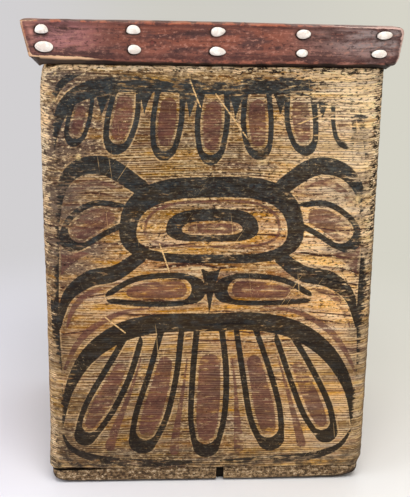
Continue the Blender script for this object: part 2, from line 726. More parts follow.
def plank_material(peg_ends):
    """Painted cedar, with a stain round each peg's end."""
    s = Surface("painted_cedar", 0.6, 0.12)
    s.along = s.stored("along")
    s.high = s.stored("grain_z")
    s.grain = s.vector(s.along, s.stored("across"), s.high)
    s.wear = s.stored("wear")
    s.strip = s.stored("strip")
    s.flaked = s.stored("flaked")
    s.patina = s.add(s.noise(s.grain, (9, 16, 44), 5.0, 0.65), s.times(s.stored("aged"), 0.16))
    s.worn_wood = s.noise(s.grain, (20, 40, 190), 3.0, 0.6)
    s.waver = s.noise(s.grain, (3, 20, 9), 3.0)
    s.fleck = s.noise(s.grain, (60, 60, 270), 4.0, 0.65)
    s.patch = s.noise(s.grain, (26, 26, 60), 4.0, 0.6)
    s.soot = s.noise(s.grain, (60, 60, 130), 5.0, 0.65)
    height = age_wood(s)
    crack = crack_wood(s)
    black, red = paint_front(s)
    furrow = flay_corners(s)
    paint = s.math("MAXIMUM", black, red)
    scratch_and_soil(s, black, red, paint, peg_ends)
    ridges = s.times(furrow, s.strip, -1.6)
    height = s.add(s.math("SUBTRACT", height, crack), ridges, s.times(paint, 0.25))
    return s.finish(height, 0.0007, s.linear(paint, -0.1, 0.7))


# Other materials


def fray_edges(s, x, z, edge):
    """The lid's worn edges: dark below, and warm, dark or bare on them. Returns where they break."""
    under_edge = s.times(s.step(edge, 5.0, 0.0), s.step(edge, -4.0, -2.0))
    s.coat(under_edge, 0.6, srgb(68, 34, 30))
    rubbed = s.stored("rubbed")
    broken = s.step(s.noise(s.place(), (50, 50, 50), 4.0, 0.65), 0.46, 0.54)
    upper = s.step(z, (RIM_Z + 20) * MM, (RIM_Z + 34) * MM)
    warm_edge = s.times(s.step(s.add(edge, s.times(upper, -1.6)), -2.4, -4.0), broken)
    s.coat(warm_edge, s.linear(upper, 0.5, 0.3), srgb(172, 92, 60))
    s.coat(s.step(edge, -3.0, -4.4), s.linear(broken, -0.7, 0.7), srgb(66, 34, 28))
    widened = s.add(edge, s.times(rubbed, -1.6))
    bare_tone = s.mix(s.step(x, 0.0, 0.1), srgb(226, 182, 140), srgb(206, 170, 156))
    s.coat(s.step(widened, -3.0, -4.6), rubbed, bare_tone)
    return broken


def lid_material():
    """Dull red paint, clouded and rubbed, over wood that is bare on the underside."""
    s = Surface("red_painted_lid", 0.5, 0.3)
    x, y, z = s.parts(s.place())
    facing = s.parts(s.node("ShaderNodeNewGeometry").outputs["Normal"])
    on_top = s.step(facing[2], 0.5, 0.8)
    grain = s.vector(x, s.times(y, 0.4), s.add(z, s.times(y, on_top)))
    cloud = s.noise(grain, (16, 20, 60), 5.0, 0.65)
    streak = s.noise(grain, (16, 60, 240), 4.0, 0.65)
    rub = s.noise(grain, (170, 170, 300), 4.0, 0.7)
    paint = s.mix(s.step(x, -0.18, -0.1), srgb(164, 110, 108), srgb(135, 76, 57))
    paint = s.mix(s.step(x, 0.06, 0.19), paint, srgb(144, 128, 123))
    paint = s.mix(s.times(s.step(x, -0.198, -0.206), 0.6), paint, srgb(204, 138, 116))
    paint = s.mix(s.step(y, -0.182, -0.172), paint, srgb(118, 72, 60))
    s.colour = s.mix(s.step(cloud, 0.4, 0.58), srgb(84, 54, 49), paint)
    low_down = s.step(z, (RIM_Z + 26) * MM, (RIM_Z + 14) * MM)
    s.coat(s.times(low_down, s.step(cloud, 0.4, 0.6)), 0.4, srgb(154, 96, 80))
    s.coat(s.step(streak, 0.54, 0.64), 0.6, srgb(62, 34, 31))
    s.coat(s.step(streak, 0.43, 0.34), 0.35, srgb(168, 104, 84))
    s.coat(s.step(rub, 0.55, 0.63), 0.55, srgb(184, 130, 110))
    s.coat(s.step(rub, 0.45, 0.37), 0.7, srgb(52, 28, 26))
    broken = fray_edges(s, x, z, s.add(s.stored("edge_mm"), s.times(s.add(rub, streak), -5.0)))

    # Stains, sockets, a knot, soot under the bevel and a dark upper edge
    s.coat(s.stored("stain"), 0.3, srgb(52, 34, 30))
    s.coat(s.stored("socket"), 0.92, srgb(22, 14, 12))
    knot = s.add(s.apart(on_lid_front(-71, 25) * MM), s.times(rub, 0.004))
    s.coat(s.step(knot, 0.0062, 0.0048), 0.6, srgb(64, 26, 22))
    s.coat(s.step(knot, 0.0046, 0.0032), 0.6, srgb(124, 58, 48))
    s.coat(s.stored("soot"), 0.95, srgb(26, 17, 12))
    s.coat(s.stored("crown"), s.linear(broken, -0.35, 0.85), srgb(60, 33, 28))
    painted = s.colour
    lay_wood(s, grain, srgb(170, 126, 82), srgb(138, 98, 60), srgb(104, 68, 42), srgb(70, 44, 28))
    s.colour = s.mix(s.stored("under"), painted, s.colour)
    height = s.add(s.times(rub, 0.5), s.times(streak, 0.7))
    return s.finish(height, 0.001, s.linear(rub, 0.3, 0.34))


def board_material(peg_ends):
    """Grey, speckled wood, with a stain round each peg's end."""
    s = Surface("grey_board", 0.75, 0.2)
    place = s.place()
    tones = srgb(184, 156, 118), srgb(146, 118, 84), srgb(112, 86, 58), srgb(62, 44, 28)
    height = lay_wood(s, place, *tones, 0.4)
    speck = s.noise(place, (230, 230, 310), 3.0, 0.75)
    speckled = s.stored("speckled")
    s.coat(s.step(speck, 0.51, 0.57), speckled, srgb(48, 34, 22))
    s.coat(s.step(speck, 0.43, 0.37), speckled, srgb(208, 184, 150))
    stain_round(s, peg_ends, speck)
    s.coat(s.stored("shade"), 0.95, srgb(12, 9, 7))
    return s.finish(s.add(s.times(height, 0.5), s.times(speck, 0.5)), 0.0008)


def peg_material(name, deep, pale):
    s = Surface(name, 0.65)
    fibre = s.noise(s.place(), (900, 900, 900), 3.0, 0.6)
    s.colour = s.mix(s.step(fibre, 0.35, 0.65), deep, pale)
    return s.finish(fibre, 0.0003)


def shell_material():
    s = Surface("shell", 0.34)
    cloud = s.noise(s.place(), (160, 160, 160), 3.0, 0.55)
    speck = s.noise(s.place(), (620, 620, 620), 2.0, 0.6)
    s.colour = s.mix(s.step(cloud, 0.38, 0.62), srgb(228, 214, 200), srgb(248, 242, 230))
    s.coat(s.step(speck, 0.58, 0.68), 0.4, srgb(196, 174, 154))
    return s.finish(s.add(s.times(cloud, 0.6), s.times(speck, 0.4)), 0.0004)


# Side plank: one plank with its kerfed bends and its lapped corner

PLANK_EDGE_R = 1.2
PITS = [(-183, 395), (-189, 378), (-176.5, 270)]


def kerf(corner, ahead, beyond):
    """Loop points of a closed kerf at an inner corner, between the walls ahead of it and beyond it."""
    ahead = np.array(ahead, float)
    beyond = np.array(beyond, float)
    out = (ahead - beyond) / math.sqrt(2)
    bend = np.sign(out) * (np.array([WALL_W, WALL_D]) / 2 - BEND_R)
    root = bend + (BEND_R - STRAP_T - KERF_R) * out
    mouth = math.degrees(math.asin(KERF_GAP / 2 / KERF_R))
    back = math.degrees(math.atan2(-out[1], -out[0]))
    ring = arc(root, KERF_R, back - mouth, back + mouth - 360, 11)
    last = arc(root, KERF_R, back + mouth - 360, back, 1)
    shift = KERF_GAP / math.sqrt(2)
    return np.vstack([[corner - ahead * shift], ring, last, [corner + beyond * shift]])


def plank_plan(front_step, side_step):
    """The plank's plan as one closed loop: points, outward directions, and the way along the outside."""
    w, d = HALF_W, HALF_D
    wi, di = w - WALL_T, d - WALL_T
    bend_x, bend_y = w - BEND_R, d - BEND_R
    left_end = d - LAP_T - LAP_GAP
    outside = [
        line((-w, left_end), (-w, -bend_y), side_step),
        arc((-bend_x, -bend_y), BEND_R, 180, 270, 8),
        line((-bend_x, -d), (bend_x, -d), front_step),
        arc((bend_x, -bend_y), BEND_R, 270, 360, 8),
        line((w, -bend_y), (w, bend_y), side_step),
        arc((bend_x, bend_y), BEND_R, 0, 90, 8),
        line((bend_x, d), (-w, d), side_step),
        [(-w, d)],
    ]
    lap_x = -wi + LAP_GAP
    inside = [
        [(-w, d - LAP_T), (lap_x, d - LAP_T), (lap_x, di)],
        line((lap_x + side_step, di), (wi - side_step, di), 2 * side_step),
        kerf(np.array([wi, di]), (1, 0), (0, -1)),
        line((wi, di - side_step), (wi, side_step - di), 2 * side_step),
        kerf(np.array([wi, -di]), (0, -1), (-1, 0)),
        line((wi - side_step, -di), (side_step - wi, -di), 2 * side_step),
        kerf(np.array([-wi, -di]), (-1, 0), (0, 1)),
        line((-wi, side_step - di), (-wi, di - side_step), 2 * side_step),
        [(-wi, left_end)],
    ]
    outer = np.vstack(outside)
    inner = np.vstack(inside)
    away = outer - np.clip(outer, (-bend_x, -bend_y), (bend_x, bend_y))
    away = away / np.linalg.norm(away, axis=1, keepdims=True)
    away[-1] = 0
    run = np.concatenate([[0], np.cumsum(np.hypot(*np.diff(outer, axis=0).T))])
    middle = np.interp(0, outer[outer[:, 1] == -d][:, 0], run[outer[:, 1] == -d])
    inner_run = np.where(
        np.abs(inner[:, 0]) / wi > np.abs(inner[:, 1]) / di,
        np.sign(inner[:, 0]) * (w + d + inner[:, 1]),
        np.where(inner[:, 1] < 0, inner[:, 0], 2 * w + 2 * d - inner[:, 0]),
    )
    points = np.vstack([outer, inner])
    away = np.vstack([away, np.zeros_like(inner)])
    return points, away, np.concatenate([run - middle, inner_run]), len(outer)


def plank_points(plan, away, way, z, grain_z, pit, outside):
    """The plan raised to every height, with relief, a worn rim and walls that lean and bow."""
    # Weathered grain, ridges at the bends, slow waves of the surface, small pits and soft edges
    relief = 0.2 * wander(way / 150, grain_z / 5.2, 11) + 0.1 * wander(way / 50, grain_z / 3.9, 12)
    relief = relief + 0.25 * band(np.abs(way), 174, 192, 212, 238) * wander(way / 40, grain_z / 3.8, 13)
    relief = relief + 0.5 * wander(way / 110, z / 170, 14) - 2.0 * pit
    for from_edge in (WALL_H - z, z):
        into = np.clip(PLANK_EDGE_R - from_edge, 0, PLANK_EDGE_R)
        relief = relief - (PLANK_EDGE_R - np.sqrt(PLANK_EDGE_R**2 - into**2))
    out = relief * outside

    # The rim is worn at the front corners and nicked, and the lower edge is lifted at the left
    worn_rim = 0.3 + 0.3 * wander(way / 9, 0.5, 15)
    worn_rim = worn_rim + bumps(way, (4.5, -199, 15), (0.8, 200, 9), (2.4, 158, 3.2), (1.2, 30, 3.0))
    lift = 1.6 * band(-way, 105, 150, 205, 225)
    height = z - worn_rim * ramp(z, WALL_H - 26, WALL_H) * outside
    height = height + lift * (1 - ramp(z, 0, 10)) * outside

    # The right wall leans in a little, the lower left wall bows in, and two corners are worn in
    at_right = ramp(plan[:, 0], HALF_W - 60, HALF_W) * outside
    at_left = ramp(-plan[:, 0], HALF_W - 60, HALF_W) * outside
    right_lean = 1.0 - 0.8 * z / WALL_H - 3.6 * ramp(z, 12, 1)
    bow = ramp(z, 320, 210) * (0.1 + 1.9 * ramp(z, 8, 60))
    worn_top = 4.6 * np.exp((z - WALL_H) / 18)
    lean = right_lean * at_right + (bow + worn_top) * at_left

    points = np.empty((len(z), len(plan), 3))
    points[..., 0] = plan[:, 0] + away[:, 0] * out + lean
    points[..., 1] = plan[:, 1] + away[:, 1] * out
    points[..., 2] = SEAM_Z + height
    return points


def plank_paint(way, z, front, shape):
    """Distances from the painted design, on the front alone."""
    black = np.full(shape, FAR)
    red = np.full(shape, FAR)
    painted = np.broadcast_to(front, shape)
    x_design = np.broadcast_to(way, shape)[painted]
    z_design = np.broadcast_to(z, shape)[painted]
    black[painted], red[painted] = painted_design(x_design, z_design)
    return dict(black_mm=black, red_mm=red)


def plank_wear(way, z, outside, front, far_corner):
    """Wear, dirt and age of the plank's surface."""
    across = np.abs(way)
    wear = 0.12 + 0.3 * np.clip(wander(way / 60, z / 45, 16), 0, 1)
    wear = wear + 1.2 * band(across, 178, 194, 214, 240) + 0.8 * far_corner
    wear = wear + 0.8 * ramp(z, WALL_H - 20, WALL_H - 4) + 0.3 * ramp(z, 24, 4)
    wear = wear + 0.4 * band(way, 130, 178, 214, 240) * ramp(z, 140, 220)
    wear = wear + spots(
        way,
        z,
        (0.75, 150, 485, 55, 38),
        (0.4, 10, 492, 60, 20),
        (0.35, -165, 345, 30, 70),
        (-1.0, -190, 205, 14, 50),
        (-1.1, 190, 235, 14, 55),
    )

    grime = 0.8 * ramp(z, 44, 4) + 0.25 * ramp(z, WALL_H - 30, WALL_H - 12)
    grime = np.clip(grime + spots(way, z, (0.4, -175, 60, 40, 70), (0.35, -180, 330, 25, 120)), 0, 1)
    elsewhere = 0.5 * ramp(z, 70, 5) + 0.3 * ramp(z, WALL_H - 60, WALL_H)
    grime = np.where(front, grime, np.where(outside, elsewhere, 0.35))

    # Strips of worn wood down the corners and along the rim
    strip = band(-way, 184, 200, 212, 222) * (0.38 + 0.5 * ramp(z, 250, 400) + 0.4 * ramp(z, 110, 40))
    strip = strip + band(way, 182, 198, 212, 222) * (0.12 + 0.78 * ramp(z, 250, 340)) + 0.45 * far_corner
    strip = strip + 0.75 * ramp(z, WALL_H - 10, WALL_H - 3) * (across < 220)
    strip = np.clip(strip, 0, 1) * outside
    turn_from = 195 + 6 * ramp(z, 380, 430)
    turned = band(way, turn_from, turn_from + 8, 212, 244) * outside

    # Growth lines, flakes, drying cracks, age and chips
    lined = 0.3 + 0.6 * ramp(z, 215, 165) + 0.55 * ramp(z, 320, 380)
    lined = np.clip(lined + 0.3 * wander(way / 70, z / 55, 17), 0.1, 1)
    lined = np.maximum(lined, ramp(way, 160, 185) * ramp(z, 340, 280))
    lined = np.where(front, lined, 0.6 + 0.3 * wander(way / 160, z / 60, 17))
    flaked = 0.64 + 0.25 * wander(way / 80, z / 60, 19) - 0.22 * ramp(z, 210, 150)
    flaked = np.where(front, flaked - spots(way, z, (0.2, 155, 70, 60, 80)), 0.25)
    cracked = np.clip(0.35 + band(z, 140, 200, 340, 400) + spots(way, z, (0.5, 40, 110, 130, 45)), 0, 1)
    aged = 0.8 * ramp(-way, 110, 190) * ramp(z, 470, 400) + 0.7 * ramp(way, 130, 185) * ramp(z, 480, 420)
    aged = aged + spots(way, z, (0.5, -60, 20, 120, 26), (0.7, -120, 470, 70, 30), (0.6, 20, 480, 90, 22))
    aged = np.where(front, aged - 0.35, 0.2 + 0.8 * wander(way / 130, z / 150, 18))
    chip = spots(way, z, (1, -157, 401, 3.2, 4.2), (0.8, 176, 352, 4, 7), (0.7, 60, 396, 9, 4))
    chip = (chip + spots(way, z, (1, -184, 498, 2, 2), (1, -183.5, 466.5, 2, 2))) * front
    chip = np.clip(1.3 * chip - 0.3, 0, 1)
    marks = dict(wear=wear, grime=grime, strip=strip, turned=turned, lined=lined, flaked=flaked)
    return dict(**marks, cracked=cracked, aged=aged, chip=chip)


def plank_tones(way, z, front):
    """How light, smoked and bleached the plank's wood is."""
    tone = 1 + 0.5 * ramp(way, 40, 160) - 0.24 * ramp(z, 230, 380) * ramp(way, 110, 0)
    tone = tone + 0.04 * ramp(z, 340, 395) + 0.23 * band(z, 150, 200, 310, 350)
    tone = tone - 0.5 * ramp(way, 168, 192) * ramp(z, 330, 250)
    tone = tone - 0.1 * ramp(way, 110, 170) * ramp(z, 110, 60)
    tone = tone + spots(
        way,
        z,
        (0.2, 40, 190, 90, 70),
        (0.14, -180, 100, 40, 70),
        (-0.36, -75, 55, 75, 50),
        (0.2, -165, 325, 35, 35),
        (0.12, -165, 465, 40, 30),
        (0.12, 60, 320, 60, 40),
        (-0.12, 10, 400, 90, 45),
        (-0.1, -33, 260, 50, 40),
    )
    tone = np.where(front, tone, 1.0 + 0.12 * wander(way / 200, z / 160, 20))
    smoked = np.where(front, 0.75 * ramp(-way, 95, 150) * ramp(z, 205, 280), 0)
    bleached = np.where(front, 0.3 * ramp(way, 60, 165) * (0.3 + 0.7 * ramp(z, 210, 330)), 0)
    return dict(tone=tone, smoked=smoked, bleached=bleached)


def build_plank(material):
    step = grid_step(1.8)
    plan, away, along, outer_count = plank_plan(step, 12.0)
    top_rows = WALL_H - np.array([3.4, 1.2, 0.7, 0.35, 0.1, 0])
    rows = np.concatenate([[0, 0.35, 1.2], spaced(2.6, top_rows[0], step), top_rows])
    z = rows[:, None]
    way = along[None, :]
    outside = (np.arange(len(plan)) < outer_count)[None, :]
    front = outside & (np.abs(way) < HALF_W + 30)

    # The grain climbs as it goes round the front bends
    past_bend = np.clip(np.abs(way) - (HALF_W - BEND_R - 8), 0, 34)
    grain_z = z - 0.15 * past_bend * outside + 3.0 * wander(way / 140, z / 60, 31)
    pit = spots(way, z, *[(1, x, h, 1.5, 1.3) for x, h in PITS]) * outside

    # The other two corners: the third bend, and the lap
    back_bend = HALF_W + WALL_D - 3 * BEND_R + 0.75 * math.pi * BEND_R
    lap_gap = np.hypot(plan[:, 0] + HALF_W, plan[:, 1] - HALF_D)
    far_corner = np.maximum(ramp(np.abs(way - back_bend), 26, 8), ramp(lap_gap, 15, 4)) * outside

    points = plank_points(plan, away, way, z, grain_z, pit, outside)
    shape = points.shape[:2]
    faces = loft_faces(*shape)
    piece = make_piece("plank_walls", points, faces, material, "box", ["side_plank"])
    give(piece, shape, **plank_wear(way, z, outside, front, far_corner))
    give(piece, shape, **plank_tones(way, z, front))
    give(piece, shape, **plank_paint(way, z, front, shape))
    across = np.where(outside, 0.0, WALL_T * MM)
    give(piece, shape, pit=np.clip(1.4 * pit, 0, 1), along=way * MM, across=across, grain_z=grain_z * MM)
    lay_out_plank(piece, plan, rows, outer_count, along)


def lay_out_plank(piece, plan, rows, outer_count, along):
    """A map that gives the painted front the most room: the way round across, and the height up."""
    step = np.hypot(*(np.roll(plan, -1, axis=0) - plan).T)
    is_outer = np.arange(len(plan)) < outer_count
    weight = np.where(is_outer, 1.0, 0.35)
    weight[is_outer & (np.abs(along) < HALF_W + 15)] = 4.0
    run = np.concatenate([[0], np.cumsum(step * weight)])
    u = run / run[-1]
    v = 0.96 * rows / rows[-1]
    row, column = np.divmod(np.arange((len(rows) - 1) * len(plan)), len(plan))
    corners = [(0, 0), (1, 0), (1, 1), (0, 1)]
    sides = np.stack([np.column_stack([u[column + right], v[row + up]]) for right, up in corners], axis=1)
    flat = plan / [WALL_W, WALL_D] + 0.5
    bottom = np.column_stack([0.01 + 0.3 * flat[::-1, 0], 0.97 + 0.025 * flat[::-1, 1]])
    top = np.column_stack([0.41 + 0.3 * flat[:, 0], 0.97 + 0.025 * flat[:, 1]])
    layer = piece.data.uv_layers.new(name="OFBake")
    layer.uv.foreach_set("vector", np.vstack([sides.reshape(-1, 2), bottom, top]).astype(np.float32).ravel())


# Lid

FACE_LEAN = math.atan2(FRONT_OVER - FRONT_UNDER, LID_H - FRONT_BEVEL)
FACE_UP = np.array([0, -math.sin(FACE_LEAN), math.cos(FACE_LEAN)])
FACE_OUT = np.array([0, -math.cos(FACE_LEAN), -math.sin(FACE_LEAN)])


def rounded_corner(a, b, c, radius, count=8):
    """The corner b between a and c, rounded."""
    a, b, c = (np.array(v, float) for v in (a, b, c))
    to_a = (a - b) / np.linalg.norm(a - b)
    to_c = (c - b) / np.linalg.norm(c - b)
    half = math.acos(to_a @ to_c) / 2
    centre = b + (to_a + to_c) / np.linalg.norm(to_a + to_c) * radius / math.sin(half)
    start = b + to_a * radius / math.tan(half) - centre
    stop = b + to_c * radius / math.tan(half) - centre
    first = math.atan2(start[1], start[0])
    turn = math.atan2(start[0] * stop[1] - start[1] * stop[0], start @ stop)
    angle = first + turn * np.linspace(0, 1, count)
    return np.column_stack([centre[0] + radius * np.cos(angle), centre[1] + radius * np.sin(angle)])


class LidEnd:
    """Front view of one end of the lid, as x against z: its underside and end face, and its top edge.

    The underside ends in a lip that hangs a little below the walls' upper edge, outside them.
    """

    def __init__(self, end_under, lower_radius, upper_radius, lip_x, lip_drop):
        lip = (lip_x, -lip_drop)
        self.lip_x = lip_x
        under = (HALF_W + end_under, END_BEVEL)
        over = (HALF_W + END_OVER, LID_H)
        lower = rounded_corner(lip, under, over, lower_radius)
        upper = rounded_corner(under, over, (0.0, LID_H), upper_radius, 14)
        tip = int(upper[:, 0].argmax())
        self.low = np.vstack([[lip], lower, upper[: tip + 1]])
        self.high = upper[tip:][::-1]
        self.reach = upper[tip, 0]

    def low_z(self, x):
        return np.interp(x, self.low[:, 0], self.low[:, 1])

    def high_z(self, x):
        return np.interp(x, self.high[:, 0], self.high[:, 1])

    def end_x(self, z):
        return np.interp(z, self.low[:, 1], self.low[:, 0])


def front_out(z):
    """How far the lid's front and back stand out past the walls at a height."""
    out = np.interp(z, [0, FRONT_BEVEL, LID_H], [-SEAT_INSET, FRONT_UNDER, FRONT_OVER])
    up = np.clip(z - (LID_H - LID_EDGE_R), 0, LID_EDGE_R)
    return out - (LID_EDGE_R - np.sqrt(LID_EDGE_R**2 - up**2))


def lid_section():
    """The lid's section, from the front seat up, over and under.

    Each point has the sign of y on a leaning face or 0, y where the face is flat, z, and its kind.
    """
    edge_rows = [LID_H - down for down in (4.0, 2.9, 2.0, 1.3, 0.7, 0.25, 0.03)]
    lean = [0, 1.7, 3.4, 4.4, 5.2, 6.4, *np.arange(FACE_LOW_Z, LID_H - 4.5, 1.8), *edge_rows]
    lean_back = [*edge_rows[::-1], *np.arange(LID_H - 6, 8.0, -4.0), 6.4, 5.2, 4.4, 3.4, 1.7, 0]
    edge = HALF_D + FRONT_OVER - LID_EDGE_R
    mouth = HALF_D - WALL_T - PLUG_FIT
    hollow = mouth - PLUG_RIM
    section = [(-1, 0.0, z, "face") for z in lean]
    section += [(0, y, LID_H, "top") for y in np.linspace(-edge, edge, 56)]
    section += [(1, 0.0, z, "face") for z in lean_back]
    under = [(mouth + 7, 0, "seat"), (mouth, 0, "seat"), (mouth, -4, "plug"), (mouth, -PLUG_H + 1, "plug")]
    under += [(y, -PLUG_H, "plug") for y in (mouth - 1, mouth - 9, hollow + 8, hollow + 0.8)]
    under += [(hollow, z, "hollow") for z in (-PLUG_H + 0.8, 4, HOLLOW_H - 1)]
    under += [(hollow - 1, HOLLOW_H, "hollow")]
    ceiling = [(y, HOLLOW_H, "hollow") for y in np.linspace(hollow - 12, 12 - hollow, 14)]
    mirrored = [(-y, z, kind) for y, z, kind in under[::-1]]
    section += [(0, y, z, kind) for y, z, kind in under + ceiling + mirrored]
    return section


def lid_stations():
    """The lid's two ends, the places along it, and where its plug and its hollow end."""
    left_end = LidEnd(LEFT_UNDER, LID_LEFT_R, LID_EDGE_R, HALF_W + LEFT_LIP_OUT, LEFT_LIP_DROP)
    right_end = LidEnd(RIGHT_UNDER, LID_RIGHT_R, TOP_RIGHT_R, HALF_W + RIGHT_LIP_OUT, RIGHT_LIP_DROP)
    plug = HALF_W - WALL_T - PLUG_FIT
    hollow = plug - PLUG_RIM
    inner = HALF_W - 6
    stations = [*spaced(-inner, inner, grid_step(2.0)), inner]
    for wall in (plug, hollow):
        stations += [side * (wall + off) for side in (-1, 1) for off in (-0.01, 0.01)]
    for side, end in ((-1, left_end), (1, right_end)):
        stations += [side * x for x in (inner + 1.5, inner + 3.5, end.lip_x - 0.01)]
        stations += [side * x for x in np.linspace(end.lip_x, end.reach - 0.5, 24)]
        stations += [side * (end.reach - off) for off in (0.3, 0.15, 0.05)]
    return left_end, right_end, np.array(sorted(stations)), plug, hollow


class LidGrid:
    """The level lid as a grid: the points of its section at each place along it."""

    def __init__(self):
        left_end, right_end, stations, plug, hollow = lid_stations()
        self.side, flat_y, z, kind = (np.array(column) for column in zip(*lid_section()))
        self.x = np.broadcast_to(stations[:, None], (len(stations), len(kind)))
        self.ax = np.abs(self.x)
        at_left = self.x < 0
        z = np.where((kind == "hollow") & (self.ax > hollow), -PLUG_H, z)
        z = np.where(np.isin(kind, ["plug", "hollow"]) & (self.ax > plug), 0, z)
        low = np.where(at_left, left_end.low_z(self.ax), right_end.low_z(self.ax))
        high = np.where(at_left, left_end.high_z(self.ax), right_end.high_z(self.ax))
        past_lip = self.ax >= np.where(at_left, left_end.lip_x, right_end.lip_x)
        z = np.where(past_lip, np.where(z > 0.01, np.maximum(z, low), low), z)
        self.z = np.minimum(z, high)
        end_x = np.where(at_left, left_end.end_x(self.z), right_end.end_x(self.z))
        into_corner = np.clip(self.ax - (end_x - LID_CORNER_R), 0, LID_CORNER_R)
        limit = HALF_D + front_out(self.z) - LID_CORNER_R + np.sqrt(LID_CORNER_R**2 - into_corner**2)
        self.y = np.where(self.side == 0, np.clip(flat_y, -limit, limit), self.side * limit)
        self.deep_x = end_x - self.ax
        self.deep_y = limit - np.abs(self.y)
        self.upper = np.isin(kind, ["face", "top"])[None, :]
        self.under = ~self.upper & ~past_lip

    def edge_gap(self):
        """Distance from the nearest edge of the block."""
        gaps = [
            np.hypot(LID_H - self.z, self.deep_y),
            np.hypot(LID_H - self.z, self.deep_x),
            np.hypot(self.deep_x, self.deep_y),
            np.hypot(self.z - FRONT_BEVEL, self.deep_y),
            np.hypot(self.z - END_BEVEL, self.deep_x),
        ]
        return np.minimum.reduce(gaps)

    def sloped(self):
        """The points, with the front's lower edge climbing to the left and the top sinking to the right."""
        x, z = self.x, self.z
        bevel = 3.3 + 3.6 * ramp(-x, 60, 190) + 0.6 * ramp(x, 60, 190)
        above = bevel + (z - FRONT_BEVEL) * (FACE_LOW_Z - bevel) / (FACE_LOW_Z - FRONT_BEVEL)
        uneven = np.where(z < FRONT_BEVEL, z * bevel / FRONT_BEVEL, np.where(z < FACE_LOW_Z, above, z))
        top_shift = 0.8 * ramp(-x, 60, 200) - 1.8 * ramp(x, 40, 200)
        height = np.where((z > 0) & (self.side != 0), uneven, z) + top_shift * ramp(z, 42, LID_H)
        return np.stack([x, self.y, height], axis=-1)


def shell_list():
    """Every shell with its node's name, its place on the lid's front and its outline."""
    reach = HALF_W + END_OVER - END_PAIR_INSET
    shells = []
    for row, z, outlines in (("upper", UPPER_ROW_Z, UPPER_SHELLS), ("lower", LOWER_ROW_Z, LOWER_SHELLS)):
        for i, outline in enumerate(outlines):
            x = reach * (2 * i / (len(outlines) - 1) - 1) + outline[2]
            shells.append((f"{row}_operculum_{i + 1}", x, z + outline[3], outline))
    return shells


def shell_outline(outline, count):
    """Points round a shell on the face of the lid."""
    w, h, _, _, taper, tilt, flat = outline
    t = np.linspace(0, 2 * np.pi, count, endpoint=False)
    x = w / 2 * np.cos(t)
    y = h / 2 * np.sin(t) * (1 + taper * np.cos(t)) * np.where(np.sin(t) < 0, flat, 1)
    a = math.radians(tilt)
    return np.column_stack([x * math.cos(a) - y * math.sin(a), x * math.sin(a) + y * math.cos(a)])


def on_lid_front(x, z):
    along = (z - FRONT_BEVEL) * math.tan(FACE_LEAN)
    return np.array([x, -(HALF_D + FRONT_UNDER + along), RIM_Z + z])


def shell_gap(x, z, on_front):
    """Distance from the nearest shell's socket, on the lid's front."""
    face_points = np.column_stack([x[on_front], (z[on_front] - FRONT_BEVEL) / math.cos(FACE_LEAN)])
    nearest = np.full(len(face_points), FAR)
    for _, shell_x, shell_z, outline in shell_list():
        middle = np.array([shell_x - 1.0, (shell_z - FRONT_BEVEL) / math.cos(FACE_LEAN) - 0.8])
        nearest = np.minimum(nearest, fill(face_points, middle + shell_outline(outline, 40)))
    gap = np.full(x.shape, FAR)
    gap[on_front] = nearest
    return gap


def lid_relief(lid, edge):
    """Hand carving and wear: slow waves, small facets, rubbed edges, nicks, a gouge and tool marks."""
    x, y, z = lid.x, lid.y, lid.z
    at_edge = ramp(edge, 9, 0)
    face_z = z + 0.25 * y
    out = 0.6 * wander(x / 80, face_z / 46, 21) + 0.22 * wander(x / 19, face_z / 8, 22)
    out = out + 0.12 * wander(x / 40, face_z / 3.6, 23)
    out = out - at_edge * (0.5 + 0.8 * wander(x / 11, face_z / 11, 24))
    is_front = ramp(lid.deep_y, 10, 3) * (y < 0)
    nick = spots(x, z, (1, 151, LID_H, 2.6, 5), (0.8, 165, LID_H, 3.2, 4), (0.5, -90, LID_H, 4, 3))
    gouge = spots(x, z, (1, 155, 21, 7, 1.6))
    tools = ramp(x, 186, 204) * np.sin(0.9 * z + 0.55 * x + 2 * wander(x / 9, z / 9, 25))
    out = out - is_front * (2.4 * nick + 0.9 * gouge + 0.25 * tools) * (at_edge + (edge > 4))
    return out * (lid.upper & (z > 1.0))


def build_lid(material):
    """The lid's block. Its wear follows the level lid, and its slopes are in the points alone."""
    lid = LidGrid()
    x, y, z = lid.x, lid.y, lid.z
    edge = lid.edge_gap()
    on_front = (lid.side < 0)[None, :] & (z > 7)
    gap = shell_gap(x, z, on_front)
    socket = ramp(gap, 0.8, 0.0)
    points = lid.sloped()
    faces = loft_faces(*x.shape, inside_out=True)
    normals = point_normals(points.reshape(-1, 3), np.array(faces[:-2])).reshape(points.shape)
    points = points + normals * (lid_relief(lid, edge) - 2.4 * socket)[..., None]
    points[..., 2] += RIM_Z
    piece = make_piece("lid_block", points, faces, material, "lid", ["lid"])

    stain = ramp(gap, 3.5, 0.3) + on_front * spots(x, z, (1.3, -121, 24, 22, 14), (1, 128, 34, 12, 14))
    rubbed = 1.8 * ramp(z, 14, 9) * ramp(x, -120, -165) + 0.5 * ramp(-x, 196, 206)
    rubbed = rubbed + 1.1 * ramp(x, 90, 170) * ramp(z, 26, 42) + 0.9 * ramp(x, 200, 212)
    rubbed = rubbed * ramp(y, -110, -160) + 0.25 * ramp(z, 38, 46)
    crown = ramp(z, LID_H - 2.6, LID_H - 1.0) * ramp(edge, 5, 2)
    bevel_top = np.where(lid.ax < HALF_W - 3, FRONT_BEVEL, END_BEVEL - 0.6)
    soot = ramp(z, bevel_top + 0.4, bevel_top - 1.6)
    give(piece, x.shape, edge_mm=edge, crown=crown, rubbed=rubbed, soot=soot)
    give(piece, x.shape, socket=socket, stain=stain, under=lid.under)
    weld(piece, 0.005)


